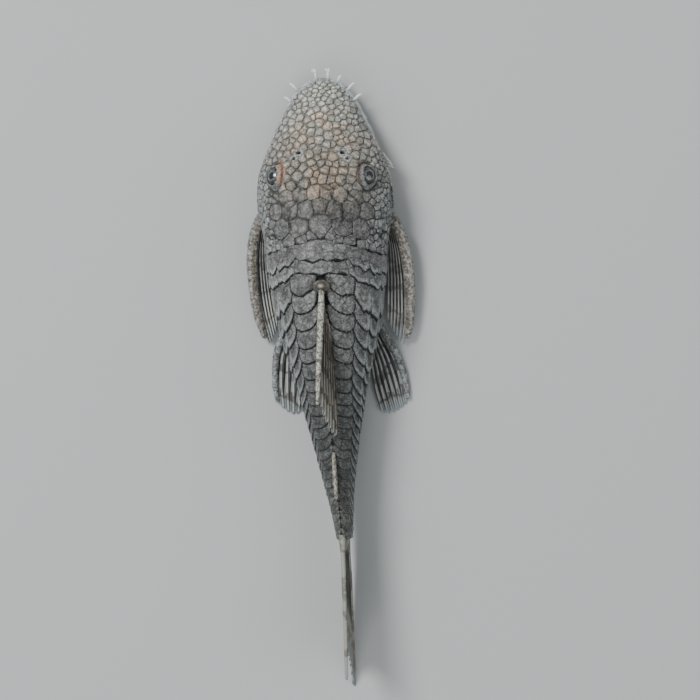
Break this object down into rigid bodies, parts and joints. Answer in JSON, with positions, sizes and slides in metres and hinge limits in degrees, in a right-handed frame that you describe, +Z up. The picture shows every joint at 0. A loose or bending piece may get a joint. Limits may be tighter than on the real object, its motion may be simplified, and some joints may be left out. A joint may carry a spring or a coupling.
{
  "type": "bristlenose pleco",
  "caption": "Still life-size model of a bristlenose pleco lying flat with folded fins: armoured head with snout bristles, sucker mouth, plated tapering body and closed upright tail fin.",
  "frame": {"origin": "middle of the model's box, on the floor it rests on", "axes": "+Y from the snout towards the tail, +X towards the fish's left, +Z up from belly to back"},
  "size_m": [0.0302, 0.1118, 0.0178],
  "materials": {
    "skin": "grey-brown bony plates and skin, satin",
    "spine": "pale bony fin spines, rough with tiny teeth",
    "fin": "thin fin membrane with pale rays and dark bands",
    "lips": "soft pale lips, finely bumpy",
    "eye": "wet dark eye"
  },
  "bodies": {
    "root": {"adipose_fin": "fin", "anal_fin": "fin", "barbel_left": "lips", "barbel_right": "lips", "caudal_fin": "fin", "dorsal_fin": "fin", "dorsal_spine": "spine", "eye_left": "eye", "eye_right": "eye", "gill_cover_left": "skin", "gill_cover_right": "skin", "head": "skin", "mouth_disc": "lips", "pectoral_fin_left": "fin", "pectoral_fin_right": "fin", "pectoral_spine_left": "spine", "pectoral_spine_right": "spine", "pelvic_fin_left": "fin", "pelvic_fin_right": "fin", "pelvic_spine_left": "spine", "pelvic_spine_right": "spine", "tail_stalk": "skin", "trunk": "skin"}
  },
  "joints": []
}
